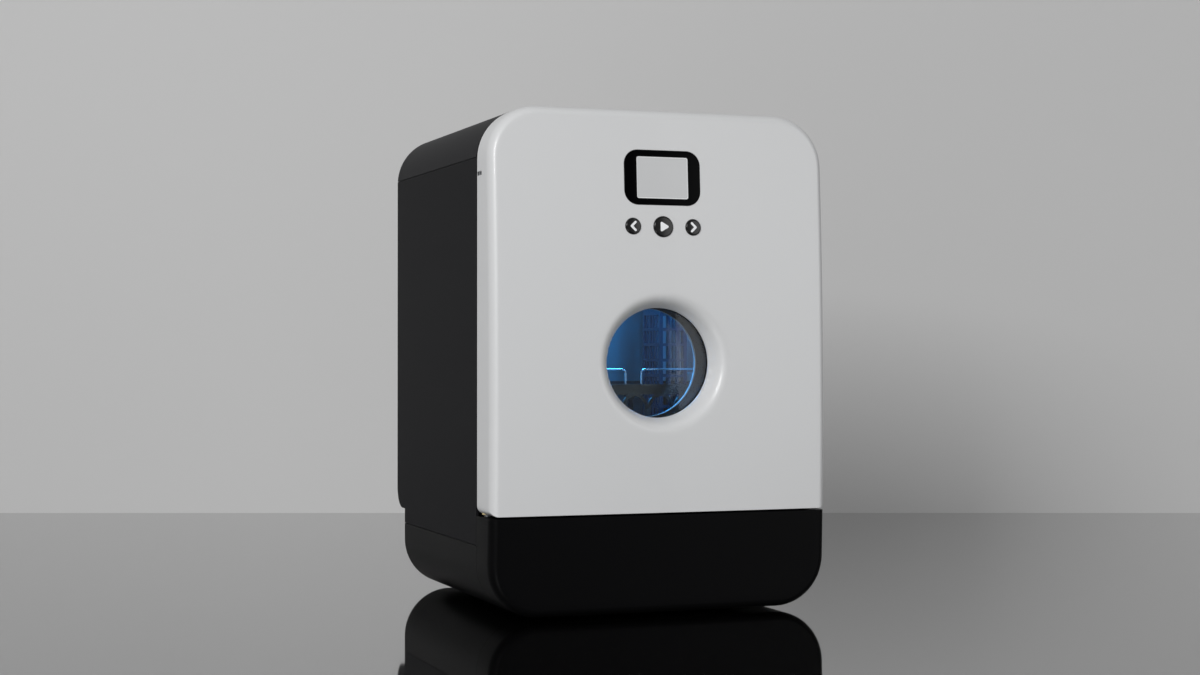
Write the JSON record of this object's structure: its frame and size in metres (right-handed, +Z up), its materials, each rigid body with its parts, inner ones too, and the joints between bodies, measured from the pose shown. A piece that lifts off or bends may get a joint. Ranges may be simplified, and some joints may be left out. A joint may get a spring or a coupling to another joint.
{
  "type": "countertop dishwasher",
  "caption": "Compact countertop dishwasher with a round window in its side-hinged door, a sliding rack, a spray arm, push buttons and a water tank with a lid.",
  "frame": {"origin": "on the worktop, under the middle of the body's footprint, feet standing at z 0", "axes": "+X to the user's right when facing the door, -Y out of the front, +Z up"},
  "size_m": [0.352, 0.3579, 0.495],
  "materials": {
    "door_white": "gloss white ABS, very light grey, faint moulding texture",
    "casing_grey": "dark grey powder coat on sheet steel, satin",
    "base_black": "near-black moulded polypropylene, fine satin grain",
    "gloss_black": "high-gloss black ABS",
    "screen_grey": "light grey liquid crystal screen behind a thin clear window",
    "inner_white": "satin white polypropylene",
    "tub_steel": "brushed stainless steel sheet",
    "fixing_steel": "zinc plated steel",
    "motor_zinc": "die-cast aluminium motor case",
    "wire_chrome": "bright chrome plated wire",
    "rack_black": "black moulded polypropylene, light gloss",
    "tine_grey": "grey nylon coated wire",
    "basket_blue": "dark blue translucent-looking polypropylene",
    "arm_grey": "light grey polypropylene",
    "runner_white": "white acetal",
    "bush_plastic": "natural nylon",
    "pump_plastic": "dark grey glass-filled polypropylene",
    "tank_clear": "translucent natural polypropylene",
    "hose_black": "black EPDM hose",
    "hose_clear": "milky silicone hose",
    "gasket_rubber": "dark grey silicone seal",
    "foot_rubber": "black rubber foot",
    "tunnel_dark": "dark grey moulded window tube",
    "window_glass": "clear tempered glass",
    "lamp_lens": "light blue diffusing lens",
    "board_green": "green circuit board with black parts"
  },
  "bodies": {
    "cabinet": {"base_tray": "base_black", "front_plinth": "base_black", "left_side_panel": "casing_grey", "right_side_panel": "casing_grey", "top_cover": "casing_grey", "rear_panel": "casing_grey", "feet": "foot_rubber", "front_frame": "inner_white", "door_gasket": "gasket_rubber", "casing_screws": "fixing_steel", "wash_tub": "tub_steel", "rack_runners": "runner_white", "sump": "pump_plastic", "spray_post": "pump_plastic", "filter_plate": "tub_steel", "heater": "tub_steel", "tub_lamp": "lamp_lens", "wash_pump_housing": "pump_plastic", "wash_pump_motor": "motor_zinc", "drain_pump_housing": "pump_plastic", "water_tank": "tank_clear", "fill_funnel": "runner_white", "fan_housing": "pump_plastic", "power_board": "board_green", "latch_housing": "pump_plastic", "hinge_brackets": "fixing_steel", "drain_spigot": "pump_plastic", "inlet_valve": "runner_white", "cord_gland": "gasket_rubber", "pump_hoses": "hose_black", "water_hoses": "hose_clear"},
    "door": {"door_shell": "door_white", "door_inner_panel": "inner_white", "window_panes": "window_glass", "window_tunnel": "tunnel_dark", "display_bezel": "gloss_black", "display_screen": "screen_grey", "control_board": "board_green", "hinge_bushes": "bush_plastic", "door_strike": "fixing_steel", "detergent_dispenser": "inner_white", "door_screws": "fixing_steel"},
    "rack": {"rack_rim": "rack_black", "rack_walls": "rack_black", "rack_floor": "rack_black", "cup_hoops": "wire_chrome", "plate_tines": "tine_grey", "cutlery_basket": "basket_blue"},
    "back_button": {"back_button": "gloss_black"},
    "play_button": {"play_button": "gloss_black"},
    "next_button": {"next_button": "gloss_black"},
    "spray_arm": {"spray_arm": "arm_grey"},
    "wash_rotor": {"wash_impeller": "bush_plastic"},
    "drain_rotor": {"drain_impeller": "bush_plastic"},
    "fan_rotor": {"fan_rotor": "arm_grey"},
    "fill_lid": {"fill_lid": "casing_grey"},
    "filter_cup": {"filter_cup": "arm_grey"},
    "dispenser_lid": {"dispenser_lid": "arm_grey"},
    "latch_pawl": {"latch_pawl": "bush_plastic"},
    "overflow_float": {"overflow_float": "runner_white"}
  },
  "joints": [
    {"name": "door_hinge", "type": "hinge", "parent": "cabinet", "child": "door", "pos_m": [-0.168, -0.138, 0.25], "axis": [0, 0, -1], "range_deg": [0, 105]},
    {"name": "rack_slide", "type": "slide", "parent": "cabinet", "child": "rack", "axis": [0, -1, 0], "range_m": [0, 0.1285]},
    {"name": "back_button_press", "type": "slide", "parent": "door", "child": "back_button", "axis": [0, 0.999, -0.0448], "range_m": [0, 0.0012], "stiffness_N_per_m": 400},
    {"name": "play_button_press", "type": "slide", "parent": "door", "child": "play_button", "axis": [0, 0.999, -0.0448], "range_m": [0, 0.0012], "stiffness_N_per_m": 400},
    {"name": "next_button_press", "type": "slide", "parent": "door", "child": "next_button", "axis": [0, 0.999, -0.0448], "range_m": [0, 0.0012], "stiffness_N_per_m": 400},
    {"name": "spray_arm_spin", "type": "hinge", "parent": "cabinet", "child": "spray_arm", "pos_m": [0, 0, 0.125], "axis": [0, 0, 1], "continuous": true},
    {"name": "wash_rotor_spin", "type": "hinge", "parent": "cabinet", "child": "wash_rotor", "pos_m": [-0.08, 0, 0.067], "axis": [1, 0, 0], "continuous": true},
    {"name": "drain_rotor_spin", "type": "hinge", "parent": "cabinet", "child": "drain_rotor", "pos_m": [0.075, 0, 0.0685], "axis": [1, 0, 0], "continuous": true},
    {"name": "fan_rotor_spin", "type": "hinge", "parent": "cabinet", "child": "fan_rotor", "pos_m": [0.088, -0.03, 0.455], "axis": [0, 0, 1], "continuous": true},
    {"name": "fill_lid_hinge", "type": "hinge", "parent": "cabinet", "child": "fill_lid", "pos_m": [0, 0.1655, 0.49375], "axis": [-1, 0, 0], "range_deg": [0, 100]},
    {"name": "filter_cup_twist", "type": "hinge", "parent": "cabinet", "child": "filter_cup", "pos_m": [0, -0.027, 0.08], "axis": [0, 0, 1], "range_deg": [0, 90]},
    {"name": "dispenser_lid_slide", "type": "slide", "parent": "door", "child": "dispenser_lid", "axis": [1, 0, 0], "range_m": [0, 0.042]},
    {"name": "latch_pawl_pivot", "type": "hinge", "parent": "cabinet", "child": "latch_pawl", "pos_m": [0.163, -0.104, 0.269], "axis": [-1, 0, 0], "range_deg": [0, 15], "stiffness_Nm_per_rad": 0.05},
    {"name": "float_rise", "type": "slide", "parent": "cabinet", "child": "overflow_float", "axis": [0, 0, 1], "range_m": [0, 0.006]}
  ],
  "couplings": [
    {"joint": "rack_slide", "follows": "door_hinge", "m_per_rad": 0.07}
  ]
}
